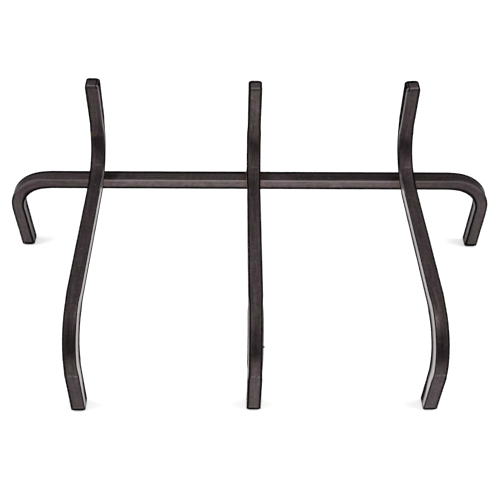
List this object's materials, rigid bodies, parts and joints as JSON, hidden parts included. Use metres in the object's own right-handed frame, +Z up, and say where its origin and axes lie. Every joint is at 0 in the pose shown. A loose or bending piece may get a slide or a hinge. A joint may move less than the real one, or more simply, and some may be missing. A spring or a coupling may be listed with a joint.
{
  "type": "fireplace log grate",
  "caption": "Free-standing log grate for a hearth: bars of square steel, bent up at the back and down at the front, welded across a bar whose bent ends are the rear legs.",
  "frame": {"origin": "on the floor, below the middle of the grate's bounding box", "axes": "+X along the cross bar to the right as seen from the front, +Y to the back of the hearth, +Z up"},
  "size_m": [0.4842, 0.2402, 0.1933],
  "materials": {
    "dark_steel": "satin brown-black, with the bar's drawn lines and a little mottling",
    "weld_metal": "rippled weld bead under the same dark finish, slightly browner"
  },
  "bodies": {
    "root": {"cross_bar": "dark_steel", "log_bar_left": "dark_steel", "log_bar_middle": "dark_steel", "log_bar_right": "dark_steel", "weld_left_bar": "weld_metal", "weld_middle_bar_left": "weld_metal", "weld_middle_bar_right": "weld_metal", "weld_right_bar": "weld_metal"}
  },
  "joints": []
}
